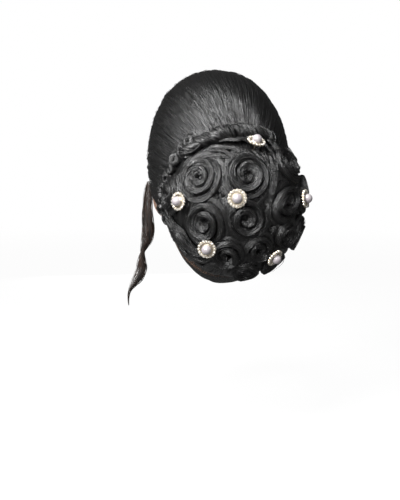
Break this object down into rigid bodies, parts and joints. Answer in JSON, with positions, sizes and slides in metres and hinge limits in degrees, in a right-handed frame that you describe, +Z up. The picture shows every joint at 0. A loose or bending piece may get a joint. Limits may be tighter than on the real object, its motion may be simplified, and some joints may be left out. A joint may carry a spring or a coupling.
{
  "type": "updo wig",
  "caption": "Updo wig: lace-edged cap, hair swept back into a bun of coiled rosettes with a twisted crest, pearl pins and one loose lock at the left temple.",
  "frame": {"origin": "where the crown of the head touches the inside of the cap, at the middle of the head", "axes": "+Z up, the wearer faces -Y, so the bun is towards +Y and the wearer's left is +X"},
  "size_m": [0.1886, 0.2575, 0.2828],
  "materials": {
    "hair": "smooth black fibre hair with a soft sheen along the strands",
    "cap_lace": "brown lace net",
    "pin_metal": "pale gold metal plate set with clear cut stones",
    "pearl": "lustrous pearl, faintly lavender"
  },
  "bodies": {
    "root": {"wig_cap": "cap_lace", "swept_hair": "hair", "chignon_core": "hair", "crest_twist": "hair", "fan_lock": "hair", "side_lock": "hair", "temple_lock": "hair", "rosette_01": "hair", "rosette_02": "hair", "rosette_03": "hair", "rosette_04": "hair", "rosette_05": "hair", "rosette_06": "hair", "rosette_07": "hair", "rosette_08": "hair", "rosette_09": "hair", "rosette_10": "hair", "rosette_11": "hair", "rosette_12": "hair", "rosette_13": "hair", "rosette_14": "hair", "rosette_15": "hair", "pin_setting_1": "pin_metal", "pin_setting_2": "pin_metal", "pin_setting_3": "pin_metal", "pin_setting_4": "pin_metal", "pin_setting_5": "pin_metal", "pin_setting_6": "pin_metal", "pin_pearl_1": "pearl", "pin_pearl_2": "pearl", "pin_pearl_3": "pearl", "pin_pearl_4": "pearl", "pin_pearl_5": "pearl", "pin_pearl_6": "pearl"}
  },
  "joints": []
}
